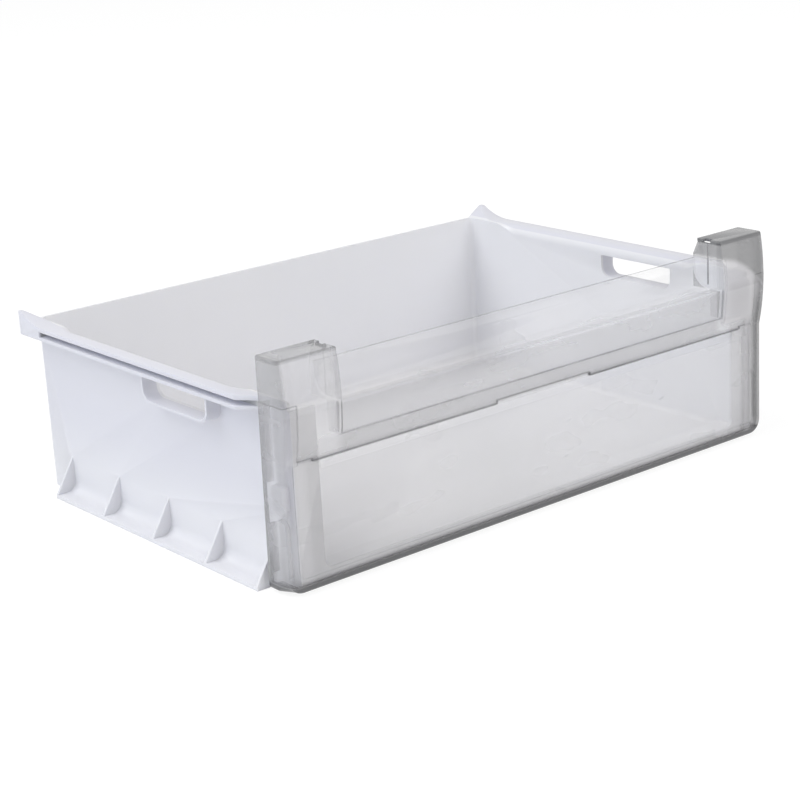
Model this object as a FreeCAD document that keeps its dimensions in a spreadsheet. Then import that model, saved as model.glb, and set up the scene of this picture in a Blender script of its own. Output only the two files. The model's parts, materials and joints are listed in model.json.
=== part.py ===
"""Crisper drawer of a refrigerator: a white tub behind a clear clip-on front with a grip rail.

Frame: X to the right, Y to the back, Z up. The origin lies under the middle of the tub, on the
surface that the drawer stands on. All sizes are millimetres.
"""
import FreeCAD, Part
import math
import os
import Sketcher

# Driving sizes, one per cell of the sheet.
SIZES = {
    # Tub
    "bin_width": 430.0,  # outside the side walls
    "bin_length": 316.8,  # front edge of the side walls to the outside of the back wall
    "bin_height": 130.0,
    "bin_wall": 2.4,
    "floor_wall": 2.8,
    "corner_radius": 7.0,  # upright back corners, outside
    "floor_radius": 4.5,  # inside, where the walls meet the floor
    "front_return": 20.0,  # how far each side wall turns in across the open front
    "return_drop": 6.0,  # from the rim down to the top of those returns
    "sill_height": 13.0,
    "sill_radius": 6.0,
    "step_length": 25.6,  # raised strip of the floor behind the sill
    # Rim
    "rim_reach": 13.4,  # beyond the side wall
    "rim_lip": 3.0,
    "rim_groove": 4.0,
    "rim_bead": 2.5,
    "groove_depth": 9.0,
    "rim_start": 22.0,  # from the front edge of the wall to where the rim leaves it
    "rim_run": 18.6,  # length of the slanting start
    "rim_rear": 0.4,  # behind the back wall
    "rim_flare": 8.0,  # rounding of the inner top edge
    "flare_fade": 30.0,  # plan radius in which that rounding runs out
    # Raised ears at the back corners
    "ear_height": 8.5,
    "ear_run": 30.0,
    "ear_top": 4.0,
    "ear_wall": 3.0,
    "ear_plate": 28.0,  # closed end of the groove
    # Hand slots in the side walls
    "slot_start": 79.4,  # behind the front edge of the wall
    "slot_length": 75.6,
    "slot_height": 17.3,
    "slot_radius": 8.0,
    "collar_reach": 11.0,
    "collar_wall": 2.0,
    # Base ledge with its gussets
    "ledge_reach": 16.0,
    "ledge_wall": 3.0,
    "ledge_radius": 8.5,
    "ledge_start": 27.4,
    "ledge_length": 257.0,
    "gusset_height": 29.0,
    "gusset_wall": 2.0,
    "gusset_pitch": 65.2,
    "gusset_count": 4,
    # Lugs that the front clips over
    "lug_reach": 6.0,
    "lug_start": 6.6,
    "lug_length": 11.0,
    "lug_low": 57.0,
    "lug_height": 16.0,
    # Clear lower front
    "front_width": 450.0,
    "front_lift": 2.0,  # underside of the front above the underside of the tub
    "panel_height": 86.7,
    "panel_wall": 2.2,
    "panel_radius": 11.0,  # lower corners, seen from the front
    "return_radius": 3.0,  # the same corners at the back of the returns
    "corner_start": 4.0,  # depths between which they sharpen
    "corner_end": 16.0,
    "edge_radius": 3.0,
    "strip_radius": 2.8,  # outer edge of the upright strips
    "wing_height": 127.0,
    "strip_width": 11.5,  # upright strips beside the grip rail
    "return_depth": 24.8,
    "return_lean": 2.8,  # how much shallower the wings are at their top
    "lip_reach": 7.7,
    "clip_low": 45.0,
    "clip_height": 28.0,
    "margin_side": 7.5,
    "margin_foot": 10.0,
    "margin_step": 0.5,
    "margin_radius": 5.0,
    "rib_reach": 3.0,
    "rib_wall": 1.2,
    "rib_start": 3.6,
    "rib_low": 12.0,
    "rib_high": 50.0,
    "rib_length": 9.0,
    "rib_radius": 6.0,
    "tongue_height": 11.3,
    "tongue_root": 7.0,
    "tongue_wall": 1.8,
    "tab_width": 87.0,
    "tab_height": 2.5,
    "end_tab_width": 12.0,  # beside the upright strips
    "end_tab_height": 1.9,
    # Clear grip rail
    "rail_height": 71.1,
    "rail_wall": 2.2,
    "bow_radius": 172.0,
    "bow_lean": 1.0,
    "tower_width": 46.5,
    "tower_depth": 21.3,
    "tower_lean": 1.6,
    "shelf_height": 36.0,
    "shelf_depth": 10.5,
    "cove_radius": 13.0,
    "back_height": 56.0,
    "band_height": 13.2,
    "strip_step": 1.2,
    "knee_height": 59.0,
    "rail_rib": 9.0,
    "seam_place": 11.0,
    "seam_width": 0.8,
    "notch_start": 8.5,
    "notch_length": 7.5,
    "notch_width": 3.2,
    "notch_depth": 2.8,
    "round_top": 1.6,
    # Clearances
    "seat_gap": 0.4,  # tub to the clear front
    "joint_gap": 0.3,  # clear front to the grip rail
}

doc = FreeCAD.newDocument("crisper_drawer")
dims = doc.addObject("Spreadsheet::Sheet", "dims")
for row, (alias, size) in enumerate(SIZES.items(), start=1):
    dims.set(f"A{row}", alias)
    dims.set(f"B{row}", str(size))
    dims.setAlias(f"B{row}", alias)
doc.recompute()

# Places that several pieces share, as formulas on the sheet.
SIDE = "dims.bin_width / 2"
INNER = f"({SIDE} - dims.bin_wall)"
MID_WALL = f"({SIDE} - dims.bin_wall / 2)"
BACK = "dims.bin_length / 2"
FRONT = "(-dims.bin_length / 2)"
RIM_SIDE = f"({SIDE} + dims.rim_reach)"
RIM_BACK = f"({BACK} + dims.rim_rear)"
GROOVE_TOP = "(dims.bin_height - dims.rim_lip)"
GROOVE_FOOT = f"({GROOVE_TOP} - dims.rim_groove)"
BEAD_FOOT = f"({GROOVE_FOOT} - dims.rim_bead)"
STEP_HEIGHT = "(dims.front_lift + dims.panel_wall + dims.seat_gap)"
LEDGE_FRONT = f"({FRONT} + dims.ledge_start)"
LEDGE_BACK = f"({LEDGE_FRONT} + dims.ledge_length)"
LEDGE_SIDE = f"({SIDE} + dims.ledge_reach)"
FACE = "dims.front_width / 2"
FACE_PLACE = f"({FRONT} - dims.seat_gap - dims.panel_wall)"
RAIL_FOOT = "(dims.panel_height + dims.joint_gap)"
RAIL_SIDE = f"({FACE} - dims.strip_width - dims.joint_gap)"
TOWER_IN = f"({FACE} - dims.tower_width)"
TOWER_FOOT = f"(dims.wing_height - {RAIL_FOOT} + dims.joint_gap)"
LEFT = "left"
RIGHT = "right"


def length(formula):
    """Worth of a formula on the sheet, in millimetres."""
    return float(dims.evalExpression(formula))


def new_body(name):
    """Body of one moulding, labelled as its file."""
    body = doc.addObject("PartDesign::Body", name)
    body.Label = name
    return body


def origin_plane(body, role):
    """One of the three origin planes of a body."""
    return next(plane for plane in body.Origin.OriginFeatures if plane.Role == role)


def sketch_on(body, name, role, offset):
    """Empty sketch on an origin plane, moved along the plane's direction."""
    sketch = body.newObject("Sketcher::SketchObject", name)
    sketch.AttachmentSupport = [(origin_plane(body, role), "")]
    sketch.MapMode = "FlatFace"
    sketch.setExpression(".AttachmentOffset.Base.z", offset)
    return sketch


def plan(body, name, height):
    """Sketch seen from above, at a height."""
    return sketch_on(body, name, "XY_Plane", height)


def elevation(body, name, depth):
    """Sketch seen from the front, at a depth along Y."""
    return sketch_on(body, name, "XZ_Plane", f"-({depth})")


def section(body, name, across):
    """Sketch seen from the right, at a place along X: depth along its first axis, then height."""
    return sketch_on(body, name, "YZ_Plane", across)


def arc_between(first, last, radius, side):
    """Short arc between two points, with its centre to the left or the right of the way."""
    chord = last - first
    reach = math.sqrt(radius ** 2 - (chord.Length / 2) ** 2)
    across = FreeCAD.Vector(-chord.y, chord.x, 0).normalize()
    turn = 1 if side == LEFT else -1
    centre = (first + last) / 2 + across * reach * turn
    ends = (first, last) if side == LEFT else (last, first)
    angles = [math.atan2(end.y - centre.y, end.x - centre.x) for end in ends]
    circle = Part.Circle(centre, FreeCAD.Vector(0, 0, 1), radius)
    return Part.ArcOfCircle(circle, angles[0], angles[1])


def outline(sketch, corners):
    """Closed outline through corners given as formulas; a corner with a radius ends an arc."""
    points = [FreeCAD.Vector(length(corner[0]), length(corner[1]), 0) for corner in corners]
    first_edge = sketch.GeometryCount
    ends = []
    for index, corner in enumerate(corners):
        start, end = points[index - 1], points[index]
        if len(corner) == 4:
            sketch.addGeometry(arc_between(start, end, length(corner[2]), corner[3]), False)
            ends.append((1, 2) if corner[3] == LEFT else (2, 1))
        else:
            sketch.addGeometry(Part.LineSegment(start, end), False)
            ends.append((1, 2))
    for index, corner in enumerate(corners):
        edge = first_edge + index
        following = (index + 1) % len(corners)
        after = first_edge + following
        sketch.addConstraint(
            Sketcher.Constraint("Coincident", edge, ends[index][1], after, ends[following][0]))
        for kind, formula, place in (
            ("DistanceX", corner[0], points[index].x),
            ("DistanceY", corner[1], points[index].y),
        ):
            number = sketch.addConstraint(
                Sketcher.Constraint(kind, -1, 1, edge, ends[index][1], place))
            sketch.setExpression(f"Constraints[{number}]", formula)
        if len(corner) == 4:
            number = sketch.addConstraint(
                Sketcher.Constraint("Radius", edge, length(corner[2])))
            sketch.setExpression(f"Constraints[{number}]", corner[2])


def mirrored(corners):
    """The same outline on the other side of the middle plane."""
    other = {LEFT: RIGHT, RIGHT: LEFT}
    return [
        (f"-({corner[0]})", *corner[1:3], *(other[side] for side in corner[3:]))
        for corner in corners
    ]


def both_sides(sketch, corners):
    """An outline on the right and its twin on the left."""
    outline(sketch, corners)
    outline(sketch, mirrored(corners))


def box_corners(low_u, high_u, low_v, high_v):
    """Corners of a rectangle."""
    return [(low_u, low_v), (high_u, low_v), (high_u, high_v), (low_u, high_v)]


def pad(body, sketch, name, distance, symmetric=False, backward=False):
    """Solid made by moving a sketch along its direction."""
    feature = body.newObject("PartDesign::Pad", name)
    feature.Profile = sketch
    feature.setExpression("Length", distance)
    feature.SideType = "Symmetric" if symmetric else "One side"
    feature.Reversed = backward
    sketch.Visibility = False
    return feature


def pocket(body, sketch, name, distance, symmetric=False, backward=False):
    """Cut made by moving a sketch against its direction, checked to take material away."""
    doc.recompute()
    before = body.Shape.Volume
    feature = body.newObject("PartDesign::Pocket", name)
    feature.Profile = sketch
    feature.setExpression("Length", distance)
    feature.SideType = "Symmetric" if symmetric else "One side"
    feature.Reversed = backward
    doc.recompute()
    if body.Shape.Volume >= before:
        raise ValueError(f"{name} takes nothing away")
    return feature


def mirror(body, name, features):
    """Twins of some features on the other side of the middle plane."""
    twin = body.newObject("PartDesign::Mirrored", name)
    twin.Originals = features
    twin.MirrorPlane = (origin_plane(body, "YZ_Plane"), [""])
    body.Tip = twin
    return twin


def fillet(body, name, radius, wanted):
    """Rounding of every edge of the body so far that a test picks."""
    doc.recompute()
    base = body.Tip
    edges = [
        f"Edge{number}"
        for number, edge in enumerate(base.Shape.Edges, start=1)
        if wanted(edge.BoundBox)
    ]
    feature = body.newObject("PartDesign::Fillet", name)
    feature.Base = (base, edges)
    feature.setExpression("Radius", radius)
    doc.recompute()
    return feature


def near(first, second):
    """Whether two places agree."""
    return abs(first - second) < 0.01


def tub_corners(inset):
    """Plan of the tub, moved in by a wall."""
    side, back = f"({SIDE} - {inset})", f"({BACK} - {inset})"
    bend_x, bend_y = f"({SIDE} - dims.corner_radius)", f"({BACK} - dims.corner_radius)"
    front, radius = f"({FRONT} + {inset})", f"(dims.corner_radius - {inset})"
    return [
        (f"-{side}", front),
        (side, front),
        (side, bend_y),
        (bend_x, back, radius, LEFT),
        (f"-{bend_x}", back),
        (f"-{side}", bend_y, radius, LEFT),
    ]


def add_tub(body):
    """Floor and walls of the tub, with a round inner edge along the floor."""
    sketch = plan(body, "tub_plan", "0")
    outline(sketch, tub_corners("0"))
    pad(body, sketch, "tub_block", "dims.bin_height")
    sketch = plan(body, "hollow_plan", "dims.bin_height")
    outline(sketch, tub_corners("dims.bin_wall"))
    pocket(body, sketch, "tub_hollow", "dims.bin_height - dims.floor_wall")
    floor = length("dims.floor_wall")
    fillet(body, "floor_edge", "dims.floor_radius",
           lambda box: near(box.ZMin, floor) and near(box.ZMax, floor))


def open_front(body):
    """Front opening between the two returns, over a low sill."""
    returns = f"({SIDE} - dims.front_return)"
    low, bend = "dims.sill_height", "(dims.sill_height + dims.sill_radius)"
    top = "(dims.bin_height - dims.return_drop)"
    above = "(dims.bin_height + 1)"
    sketch = elevation(body, "front_opening", FRONT)
    outline(sketch, [
        (f"-({returns} - dims.sill_radius)", low, "dims.sill_radius", LEFT),
        (f"{returns} - dims.sill_radius", low),
        (returns, bend, "dims.sill_radius", LEFT),
        (returns, top),
        (f"{SIDE} + 1", top),
        (f"{SIDE} + 1", above),
        (f"-({SIDE} + 1)", above),
        (f"-({SIDE} + 1)", top),
        (f"-{returns}", top),
        (f"-{returns}", bend),
    ])
    pocket(body, sketch, "front_open", "dims.bin_wall")
    corner = f"({FRONT} + dims.return_drop)"
    sketch = section(body, "wall_corner", "0")
    outline(sketch, [
        (f"{FRONT} - 1", top),
        (FRONT, top),
        (corner, "dims.bin_height", "dims.return_drop", RIGHT),
        (corner, above),
        (f"{FRONT} - 1", above),
    ])
    pocket(body, sketch, "round_wall_corner", "dims.bin_width + 2", symmetric=True)


def raise_floor(body):
    """Raised strip of the floor that leaves room for the front's lower return."""
    behind = f"({FRONT} + dims.step_length)"
    sketch = plan(body, "step_room", "0")
    outline(sketch, box_corners(f"-({SIDE} + 1)", f"{SIDE} + 1", f"{FRONT} - 1", behind))
    pocket(body, sketch, "cut_step", STEP_HEIGHT, backward=True)
    sketch = plan(body, "step_plan", STEP_HEIGHT)
    outline(sketch, box_corners(
        f"-{MID_WALL}", MID_WALL, f"{FRONT} + dims.bin_wall / 2", f"{behind} + dims.bin_wall"))
    pad(body, sketch, "step_floor", "dims.floor_wall")
    sketch = plan(body, "riser_plan", "0")
    outline(sketch, box_corners(f"-{MID_WALL}", MID_WALL, behind, f"{behind} + dims.bin_wall"))
    pad(body, sketch, "step_riser", f"{STEP_HEIGHT} + dims.floor_wall / 2")


def cut_slots(body):
    """Hand slots through both side walls, right under the rim."""
    start = f"({FRONT} + dims.slot_start)"
    end = f"({start} + dims.slot_length)"
    foot = f"({BEAD_FOOT} - dims.slot_height)"

    def bag(spread, top):
        """Slot outline grown by a wall."""
        radius = f"(dims.slot_radius + {spread})"
        bend = f"({foot} + dims.slot_radius)"
        return [
            (f"{start} - {spread}", top),
            (f"{start} - {spread}", bend),
            (f"{start} + dims.slot_radius", f"{foot} - {spread}", radius, LEFT),
            (f"{end} - dims.slot_radius", f"{foot} - {spread}"),
            (f"{end} + {spread}", bend, radius, LEFT),
            (f"{end} + {spread}", top),
        ]

    sketch = section(body, "slot_outline", "0")
    outline(sketch, bag("0", BEAD_FOOT))
    pocket(body, sketch, "hand_slots", "dims.bin_width + 2", symmetric=True)
    sketch = section(body, "collar_outline", MID_WALL)
    inner = bag("0", f"{BEAD_FOOT} + dims.rim_bead / 2")
    backwards = [inner[5], inner[4][:2], (*inner[3], f"{inner[4][2]}", RIGHT), inner[2][:2],
                 (*inner[1], inner[2][2], RIGHT), inner[0]]
    outline(sketch, bag("dims.collar_wall", f"{BEAD_FOOT} + dims.rim_bead / 2") + backwards)
    return pad(body, sketch, "slot_collar", "dims.collar_reach + dims.bin_wall / 2")


def add_lug(body):
    """Lug on the right side wall that the front's clip window takes."""
    start = f"({FRONT} + dims.lug_start)"
    sketch = section(body, "lug_outline", MID_WALL)
    outline(sketch, box_corners(
        start, f"{start} + dims.lug_length", "dims.lug_low", "dims.lug_low + dims.lug_height"))
    return pad(body, sketch, "side_lug", "dims.lug_reach + dims.bin_wall / 2")


def add_rim(body):
    """Grooved rim along both sides, with a slanting start."""
    root = f"({RIM_SIDE} - dims.groove_depth)"
    sketch = elevation(body, "rim_profile", RIM_BACK)
    both_sides(sketch, [
        (MID_WALL, BEAD_FOOT),
        (RIM_SIDE, BEAD_FOOT),
        (RIM_SIDE, GROOVE_FOOT),
        (root, GROOVE_FOOT),
        (root, GROOVE_TOP),
        (RIM_SIDE, GROOVE_TOP),
        (RIM_SIDE, "dims.bin_height"),
        (MID_WALL, "dims.bin_height"),
    ])
    start = f"({FRONT} + dims.rim_start)"
    pad(body, sketch, "side_rims", f"{RIM_BACK} - {start}")
    sketch = plan(body, "rim_slant", "dims.bin_height")
    both_sides(sketch, [
        (SIDE, start),
        (RIM_SIDE, f"{start} + dims.rim_run"),
        (f"{RIM_SIDE} + 1", f"{start} + dims.rim_run"),
        (f"{RIM_SIDE} + 1", f"{start} - 1"),
        (SIDE, f"{start} - 1"),
    ])
    pocket(body, sketch, "slant_rim_start", f"dims.bin_height - {BEAD_FOOT} + 1")


def flare_corners(above):
    """Corner of material that the rounding of the inner top edge takes away."""
    low = "(dims.bin_height - dims.rim_flare)"
    return [
        (INNER, low),
        (f"{INNER} + dims.rim_flare", "dims.bin_height", "dims.rim_flare", RIGHT),
        (f"{INNER} + dims.rim_flare", above),
        (f"{INNER} - 1", above),
        (f"{INNER} - 1", low),
    ]


def flare_rim(body):
    """Rounded inner top edge of both sides, which runs out softly at its two ends."""
    reach = "sqrt((dims.flare_fade + dims.rim_flare) ^ 2 - dims.flare_fade ^ 2)"
    first = f"({FRONT} + dims.rim_start + dims.rim_run + {reach})"
    last = f"({RIM_BACK} - dims.ear_run - dims.ear_top - {reach})"
    above = "(dims.bin_height + 1)"
    sketch = elevation(body, "flare_profile", first)
    both_sides(sketch, flare_corners(above))
    pocket(body, sketch, "round_rim", f"{last} - {first}")
    for side, sign in (("right", ""), ("left", "-")):
        for end, place in (("front", first), ("back", last)):
            sketch = elevation(body, f"fade_{end}_{side}", place)
            corners = flare_corners(above)
            outline(sketch, corners if side == "right" else mirrored(corners))
            axis = f"{sign}({INNER} - dims.flare_fade)"
            add_axis(sketch, axis)
            turn = body.newObject("PartDesign::Groove", f"fade_out_{end}_{side}")
            turn.Profile = sketch
            turn.ReferenceAxis = (sketch, ["Axis0"])
            turn.Angle = 360


def add_axis(sketch, place):
    """Upright construction line that a sketch turns about."""
    across = length(place)
    low, high = FreeCAD.Vector(across, 0, 0), FreeCAD.Vector(across, 10, 0)
    line = sketch.addGeometry(Part.LineSegment(low, high), True)
    for point, height in ((1, 0.0), (2, 10.0)):
        number = sketch.addConstraint(
            Sketcher.Constraint("DistanceX", -1, 1, line, point, across))
        sketch.setExpression(f"Constraints[{number}]", place)
        sketch.addConstraint(Sketcher.Constraint("DistanceY", -1, 1, line, point, height))


def add_ears(body):
    """Raised back corners of the rim, swept up to the back and to the outside."""
    inset = "dims.rim_reach + dims.bin_wall"
    top = "(dims.bin_height + dims.ear_height)"
    start = f"({RIM_BACK} - dims.ear_top - dims.ear_run)"
    sweep = "((dims.ear_run ^ 2 + dims.ear_height ^ 2) / (2 * dims.ear_height))"
    sketch = section(body, "ear_profile", RIM_SIDE)
    outline(sketch, [
        (start, GROOVE_TOP),
        (RIM_BACK, GROOVE_TOP),
        (RIM_BACK, top),
        (f"{RIM_BACK} - dims.ear_top", top),
        (start, "dims.bin_height", sweep, RIGHT),
    ])
    ear = pad(body, sketch, "ear", inset, backward=True)
    sketch = section(body, "groove_end", RIM_SIDE)
    outline(sketch, box_corners(f"{RIM_BACK} - dims.ear_plate", RIM_BACK, BEAD_FOOT, GROOVE_TOP))
    plug = pad(body, sketch, "groove_plug", "dims.groove_depth", backward=True)
    mirror(body, "other_ear", [ear, plug])
    sketch = elevation(body, "ear_slope", start)
    outer = f"({RIM_SIDE} - dims.ear_wall)"
    both_sides(sketch, [
        (f"{INNER} - 1", "dims.bin_height"),
        (INNER, "dims.bin_height"),
        (outer, top),
        (outer, f"{top} + 1"),
        (f"{INNER} - 1", f"{top} + 1"),
    ])
    pocket(body, sketch, "slope_ears", f"{RIM_BACK} - {start} + 1")


def add_ledge(body):
    """Base ledge along both sides with gussets up the wall."""
    inner = f"({LEDGE_SIDE} - dims.ledge_reach + dims.ledge_radius)"
    bend = "(dims.ledge_wall + dims.ledge_radius)"
    sketch = elevation(body, "ledge_profile", LEDGE_BACK)
    both_sides(sketch, [
        (MID_WALL, "0"),
        (LEDGE_SIDE, "0"),
        (LEDGE_SIDE, "dims.ledge_wall"),
        (inner, "dims.ledge_wall"),
        (SIDE, bend, "dims.ledge_radius", RIGHT),
        (MID_WALL, bend),
    ])
    pad(body, sketch, "side_ledges", "dims.ledge_length")
    triangle = [
        (MID_WALL, "dims.ledge_wall / 2"),
        (LEDGE_SIDE, "dims.ledge_wall / 2"),
        (LEDGE_SIDE, "dims.ledge_wall"),
        (SIDE, "dims.gusset_height"),
        (MID_WALL, "dims.gusset_height"),
    ]
    sketch = elevation(body, "front_gusset_outline", f"{LEDGE_FRONT} + dims.gusset_wall")
    both_sides(sketch, triangle)
    pad(body, sketch, "front_gussets", "dims.gusset_wall")
    sketch = elevation(body, "gusset_outline", LEDGE_BACK)
    both_sides(sketch, triangle)
    gusset = pad(body, sketch, "gussets", "dims.gusset_wall")
    row = body.newObject("PartDesign::LinearPattern", "gusset_row")
    row.Originals = [gusset]
    row.Direction = (origin_plane(body, "XZ_Plane"), [""])
    row.setExpression("Occurrences", "dims.gusset_count")
    row.setExpression("Length", "dims.gusset_pitch * (dims.gusset_count - 1)")
    body.Tip = row


def make_bin():
    """White tub, one moulding."""
    body = new_body("bin")
    add_tub(body)
    open_front(body)
    raise_floor(body)
    collar = cut_slots(body)
    lug = add_lug(body)
    mirror(body, "other_side", [collar, lug])
    add_rim(body)
    add_ears(body)
    flare_rim(body)
    add_ledge(body)
    return body


CHORD = "sqrt(dims.rail_height ^ 2 + dims.bow_lean ^ 2)"
BOW_REACH = f"sqrt(dims.bow_radius ^ 2 - ({CHORD}) ^ 2 / 4)"
BOW_Y = f"(-dims.bow_lean / 2 + {BOW_REACH} * dims.rail_height / {CHORD})"
BOW_Z = f"(dims.rail_height / 2 + {BOW_REACH} * dims.bow_lean / {CHORD})"


def bow_at(height):
    """Depth of the bowed front of the grip rail at a height above its lower edge."""
    return f"({BOW_Y} - sqrt(dims.bow_radius ^ 2 - ({height} - {BOW_Z}) ^ 2))"


def bowed_wall(low, high, inset, wall, foot="0"):
    """Section of a wall that follows the bow between two heights above the rail's foot."""
    return [
        (f"{bow_at(low)} + {inset}", f"{foot} + {low}", "dims.bow_radius", LEFT),
        (f"{bow_at(low)} + {inset} + {wall}", f"{foot} + {low}"),
        (f"{bow_at(high)} + {inset} + {wall}", f"{foot} + {high}", "dims.bow_radius", RIGHT),
        (f"{bow_at(high)} + {inset}", f"{foot} + {high}"),
    ]


def face_corners(inset, top, bend="dims.panel_radius"):
    """Outline of the clear front up to a top, moved in by a wall, with its lower bends."""
    side, foot = f"({FACE} - {inset})", inset
    bend_x, bend_z = f"({FACE} - {bend})", bend
    radius = f"({bend} - {inset})"
    return [
        (f"-{side}", top),
        (f"-{side}", bend_z),
        (f"-{bend_x}", foot, radius, LEFT),
        (bend_x, foot),
        (side, bend_z, radius, LEFT),
        (side, top),
    ]


def return_outline(body, name, depth, bend):
    """Section through the bottom and side returns at a depth, with its lower bends."""
    outer = face_corners("0", "dims.wing_height", bend)
    inner = face_corners("dims.panel_wall", "dims.wing_height", bend)
    backwards = [inner[5], inner[4][:2], (*inner[3], inner[4][2], RIGHT), inner[2][:2],
                 (*inner[1], inner[2][2], RIGHT), inner[0]]
    sketch = elevation(body, name, depth)
    outline(sketch, outer + backwards)
    sketch.Visibility = False
    return sketch


def add_face(body):
    """Face of the clear front with the start of its bottom and side returns."""
    strip = f"({FACE} - dims.strip_width)"
    sketch = elevation(body, "face_outline", "0")
    outline(sketch, face_corners("0", RAIL_FOOT) + [
        (strip, RAIL_FOOT),
        (strip, "dims.panel_height"),
        (f"-{strip}", "dims.panel_height"),
        (f"-{strip}", RAIL_FOOT),
    ])
    pad(body, sketch, "face", "dims.panel_wall", backward=True)
    sketch = return_outline(body, "return_start", "dims.panel_wall / 2", "dims.panel_radius")
    pad(body, sketch, "returns_front", "dims.corner_start - dims.panel_wall / 2", backward=True)


def add_returns(body):
    """Rest of the returns, whose lower corners sharpen towards the back."""
    sections = [
        return_outline(body, "return_front", "dims.corner_start", "dims.panel_radius"),
        return_outline(body, "return_middle", "dims.corner_end", "dims.return_radius"),
        return_outline(body, "return_back", "dims.return_depth", "dims.return_radius"),
    ]
    returns = body.newObject("PartDesign::AdditiveLoft", "returns")
    returns.Profile = sections[0]
    returns.Sections = sections[1:]
    returns.Ruled = True
    back = "(dims.return_depth + 1)"
    sketch = section(body, "lean_outline", "0")
    outline(sketch, [
        ("dims.return_depth", "0"),
        (back, "0"),
        (back, "dims.wing_height"),
        ("dims.return_depth - dims.return_lean", "dims.wing_height"),
    ])
    pocket(body, sketch, "lean_back", "dims.front_width + 2", symmetric=True)


def add_strips(body):
    """Upright strips beside the grip rail, bowed like the rail, and the wing's edge behind them."""
    wall, rise = "dims.panel_wall", f"(dims.wing_height - {RAIL_FOOT})"
    sketch = section(body, "bowed_strip_outline", FACE)
    outline(sketch, bowed_wall("0", rise, "0", wall, RAIL_FOOT))
    strip = pad(body, sketch, "bowed_strip", "dims.strip_width", backward=True)
    sketch = section(body, "wing_edge_outline", FACE)
    outline(sketch, [
        (f"{bow_at('0')} + {wall} / 2", RAIL_FOOT, "dims.bow_radius", LEFT),
        (wall, RAIL_FOOT),
        (wall, "dims.wing_height"),
        (f"{bow_at(rise)} + {wall} / 2", "dims.wing_height"),
    ])
    edge = pad(body, sketch, "wing_edge", wall, backward=True)
    mirror(body, "other_strip", [strip, edge])
    half, foot = length(FACE), length(RAIL_FOOT)

    def wanted(box):
        """The bowed outer edges."""
        side = near(abs(box.XMin), half) and near(abs(box.XMax), half)
        return side and box.YMax < 0.1 and near(box.ZMin, foot)

    fillet(body, "strip_edge", "dims.strip_radius", wanted)


def round_face(body):
    """Round outer edge all round the face."""
    half = length(FACE)

    def wanted(box):
        """Edges of the front plane that lie on its outer outline."""
        on_front = near(box.YMin, 0) and near(box.YMax, 0)
        side = near(abs(box.XMin), half) and near(abs(box.XMax), half)
        return on_front and (side or near(box.ZMin, 0))

    fillet(body, "face_edge", "dims.edge_radius", wanted)


def add_lips(body):
    """Lips along the back of the right wing and the rib inside it."""
    foot = "dims.panel_radius"
    lean = f"(dims.return_lean * {foot} / dims.wing_height)"
    low = f"(dims.return_depth - {lean})"
    high = "(dims.return_depth - dims.return_lean)"
    sketch = section(body, "lip_outline", f"{FACE} - dims.lip_reach")
    outline(sketch, [
        (f"{low} - dims.panel_wall", foot),
        (low, foot),
        (high, "dims.wing_height"),
        (f"{high} - dims.panel_wall", "dims.wing_height"),
    ])
    lip = pad(body, sketch, "wing_lip", "dims.lip_reach - dims.panel_wall / 2")
    start, inside = "dims.rib_start", "(dims.rib_start + dims.rib_wall)"
    bend_y, bend_z = f"({start} + dims.rib_radius)", "(dims.rib_high - dims.rib_radius)"
    end, under = f"({start} + dims.rib_length)", "(dims.rib_high - dims.rib_wall)"
    sketch = section(body, "rib_outline", f"{FACE} - dims.panel_wall / 2")
    outline(sketch, [
        (start, "dims.rib_low"),
        (inside, "dims.rib_low"),
        (inside, bend_z),
        (bend_y, under, "(dims.rib_radius - dims.rib_wall)", RIGHT),
        (end, under),
        (end, "dims.rib_high"),
        (bend_y, "dims.rib_high"),
        (start, bend_z, "dims.rib_radius", LEFT),
    ])
    rib = pad(body, sketch, "wing_rib", "dims.rib_reach + dims.panel_wall / 2", backward=True)
    mirror(body, "other_wing", [lip, rib])


def cut_clip(body):
    """Windows in both lips for the lugs of the tub."""
    sketch = elevation(body, "clip_outline", "dims.return_depth + 1")
    both_sides(sketch, box_corners(
        f"{FACE} - dims.lip_reach - 1", f"{FACE} - dims.panel_wall",
        "dims.clip_low", "dims.clip_low + dims.clip_height"))
    pocket(body, sketch, "clip_windows", "dims.panel_wall + dims.return_lean + 2", backward=True)


def sink_face(body):
    """Shallow sunk field of the face inside a raised margin."""
    side = f"({FACE} - dims.margin_side)"
    bend_x = f"({side} - dims.margin_radius)"
    bend_z = "(dims.margin_foot + dims.margin_radius)"
    sketch = elevation(body, "margin_outline", "0")
    outline(sketch, [
        (f"-{side}", "dims.panel_height"),
        (f"-{side}", bend_z),
        (f"-{bend_x}", "dims.margin_foot", "dims.margin_radius", LEFT),
        (bend_x, "dims.margin_foot"),
        (side, bend_z, "dims.margin_radius", LEFT),
        (side, "dims.panel_height"),
    ])
    pocket(body, sketch, "sunk_field", "dims.margin_step")


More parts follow.
